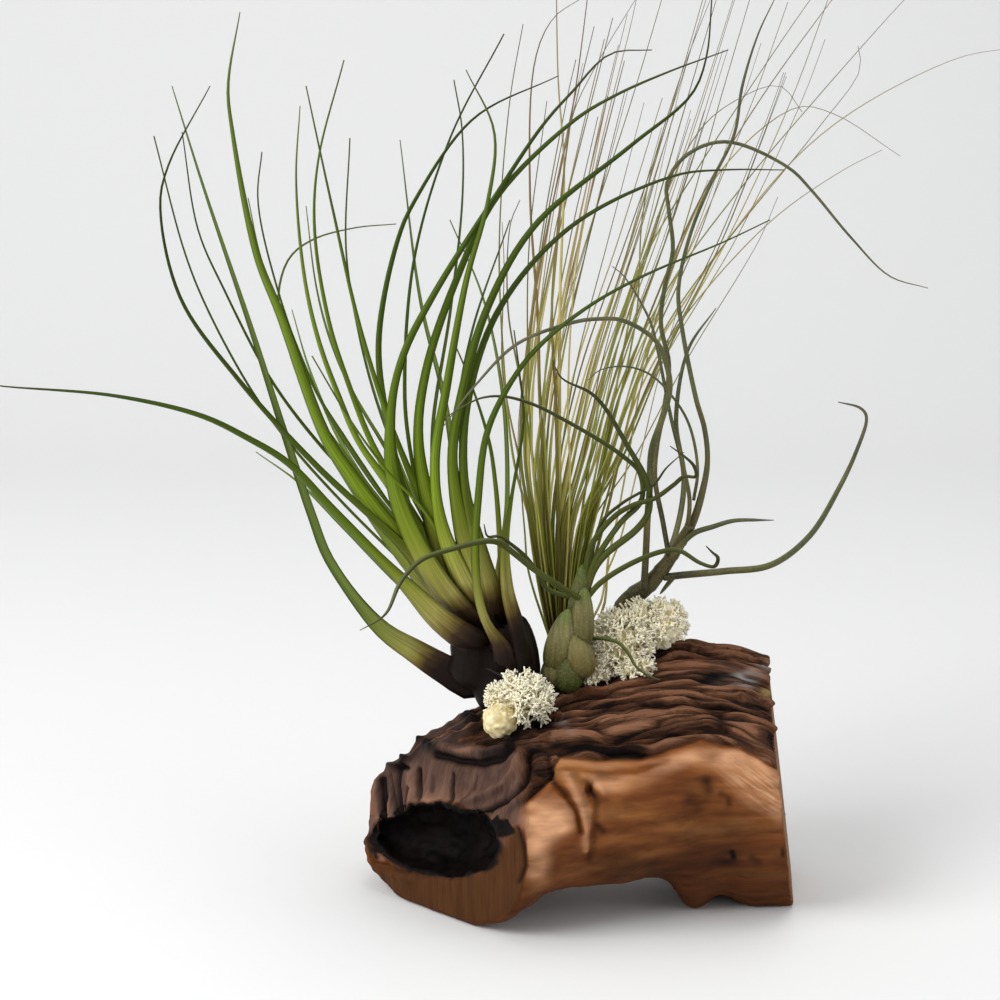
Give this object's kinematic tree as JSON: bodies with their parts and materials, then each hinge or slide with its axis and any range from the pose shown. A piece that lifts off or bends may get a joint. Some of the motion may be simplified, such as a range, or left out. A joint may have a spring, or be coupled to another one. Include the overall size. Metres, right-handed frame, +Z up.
{
  "type": "air plant arrangement",
  "caption": "Air plants of different kinds and tufts of cream reindeer moss glued on a chunk of gnarled root wood that stands on low feet, as a table ornament.",
  "frame": {"origin": "middle of the whole object's outline, at the level that the wood's feet stand on", "axes": "+Z up, +X to the right along the wood as the front is seen, +Y to the back"},
  "size_m": [0.5313, 0.2561, 0.4847],
  "materials": {
    "root_wood": "bare weathered root wood, dark grey-brown on top, orange-brown sapwood in front",
    "rosette_leaf": "smooth green leaf with a soft sheen, nearly black at its base",
    "grass_leaf": "dry olive and straw rush-like leaf",
    "bulb_leaf": "grey-green leaf with a fine mealy bloom",
    "curly_leaf": "brown-green leaf with silver speckles",
    "glue": "clear set glue",
    "moss": "dry cream lichen"
  },
  "bodies": {
    "root": {"driftwood": "root_wood", "rosette_plant": "rosette_leaf", "grassy_plant": "grass_leaf", "bulb_plant": "bulb_leaf", "curly_plant": "curly_leaf", "glue_rosette": "glue", "glue_grass": "glue", "glue_bulb": "glue", "glue_curly": "glue", "moss_front": "moss", "moss_right": "moss"}
  },
  "joints": []
}
